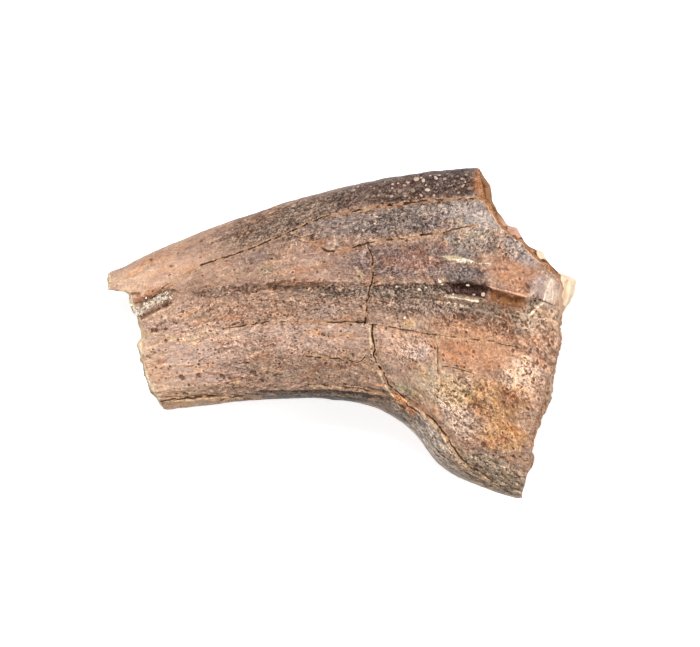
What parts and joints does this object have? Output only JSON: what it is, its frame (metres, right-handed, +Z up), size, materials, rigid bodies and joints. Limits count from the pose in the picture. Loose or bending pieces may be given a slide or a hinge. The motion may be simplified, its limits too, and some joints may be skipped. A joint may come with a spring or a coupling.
{
  "type": "dinosaur fossil claw",
  "caption": "Base half of a curved theropod claw as brown fossil bone, with a side groove and cracks, broken off at the tip and at the joint; it lies on its side.",
  "frame": {"origin": "middle of the footprint, on the surface the claw lies on", "axes": "+X along the claw from the broken tip end to the broken joint end, +Y towards the back (convex) edge, +Z up"},
  "size_m": [0.0481, 0.0338, 0.0152],
  "materials": {
    "fossil_bone": "mottled brown, purple-grey and tan fossil bone with a soft shine, pitted and finely cracked"
  },
  "bodies": {
    "root": {"fossil_claw": "fossil_bone"}
  },
  "joints": []
}
